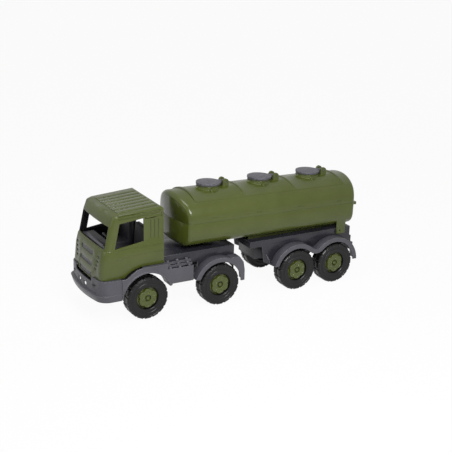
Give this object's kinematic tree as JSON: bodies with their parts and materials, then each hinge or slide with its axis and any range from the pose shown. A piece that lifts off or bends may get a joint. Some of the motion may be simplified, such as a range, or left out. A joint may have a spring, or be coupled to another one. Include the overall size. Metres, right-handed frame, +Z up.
{
  "type": "toy tanker truck",
  "caption": "Large moulded plastic toy tanker lorry: open-windowed tractor cab, hinged semi-trailer with a two-half tank, top hatches with hinged lids and freely rolling wheels.",
  "frame": {"origin": "on the floor, under the middle of the overall length, on the centre line", "axes": "+X forward, +Y to the vehicle's left, +Z up"},
  "size_m": [0.6017, 0.163, 0.2316],
  "materials": {
    "green_plastic": "moulded, slightly glossy",
    "grey_plastic": "moulded, satin",
    "lid_plastic": "moulded, finely textured",
    "tyre_black": "soft moulded tyre plastic",
    "dark_plastic": "moulded, matt",
    "steel": "drawn wire rod"
  },
  "bodies": {
    "tractor": {"tractor_frame": "grey_plastic", "front_bumper": "grey_plastic", "cab_shell": "green_plastic", "seats": "dark_plastic", "dashboard": "grey_plastic", "steering_wheel": "dark_plastic", "valance_left": "grey_plastic", "valance_right": "grey_plastic", "drive_fender_left": "grey_plastic", "drive_fender_right": "grey_plastic"},
    "trailer": {"trailer_frame": "grey_plastic", "rear_beam": "grey_plastic", "tank_upper": "green_plastic", "tank_lower": "green_plastic", "kingpin": "grey_plastic", "trailer_fender_left": "grey_plastic", "trailer_fender_right": "grey_plastic"},
    "front_wheels": {"front_axle": "steel", "front_tyre_left": "tyre_black", "front_tyre_right": "tyre_black", "front_wheel_left": "green_plastic", "front_wheel_right": "green_plastic"},
    "drive_wheels": {"drive_axle": "steel", "drive_tyre_left": "tyre_black", "drive_tyre_right": "tyre_black", "drive_wheel_left": "green_plastic", "drive_wheel_right": "green_plastic"},
    "bogie_front_wheels": {"bogie_front_axle": "steel", "bogie_front_tyre_left": "tyre_black", "bogie_front_tyre_right": "tyre_black", "bogie_front_wheel_left": "green_plastic", "bogie_front_wheel_right": "green_plastic"},
    "bogie_rear_wheels": {"bogie_rear_axle": "steel", "bogie_rear_tyre_left": "tyre_black", "bogie_rear_tyre_right": "tyre_black", "bogie_rear_wheel_left": "green_plastic", "bogie_rear_wheel_right": "green_plastic"},
    "lid_1": {"hatch_lid_1": "lid_plastic"},
    "lid_2": {"hatch_lid_2": "lid_plastic"},
    "lid_3": {"hatch_lid_3": "lid_plastic"}
  },
  "joints": [
    {"name": "trailer_yaw", "type": "hinge", "parent": "tractor", "child": "trailer", "pos_m": [0.04, 0, 0.112], "axis": [0, 0, 1], "range_deg": [-50, 50]},
    {"name": "front_roll", "type": "hinge", "parent": "tractor", "child": "front_wheels", "pos_m": [0.196, 0, 0.0415], "axis": [0, 1, 0], "continuous": true},
    {"name": "drive_roll", "type": "hinge", "parent": "tractor", "child": "drive_wheels", "pos_m": [0.0415, 0, 0.0415], "axis": [0, 1, 0], "continuous": true},
    {"name": "bogie_front_roll", "type": "hinge", "parent": "trailer", "child": "bogie_front_wheels", "pos_m": [-0.1373, 0, 0.0415], "axis": [0, 1, 0], "continuous": true},
    {"name": "bogie_rear_roll", "type": "hinge", "parent": "trailer", "child": "bogie_rear_wheels", "pos_m": [-0.2295, 0, 0.0415], "axis": [0, 1, 0], "continuous": true},
    {"name": "lid_1_hinge", "type": "hinge", "parent": "trailer", "child": "lid_1", "pos_m": [-0.00519, 0, 0.22518], "axis": [0, -1, 0], "range_deg": [0, 110]},
    {"name": "lid_2_hinge", "type": "hinge", "parent": "trailer", "child": "lid_2", "pos_m": [-0.12148, 0, 0.22338], "axis": [0, -1, 0], "range_deg": [0, 110]},
    {"name": "lid_3_hinge", "type": "hinge", "parent": "trailer", "child": "lid_3", "pos_m": [-0.23776, 0, 0.22157], "axis": [0, -1, 0], "range_deg": [0, 110]}
  ]
}
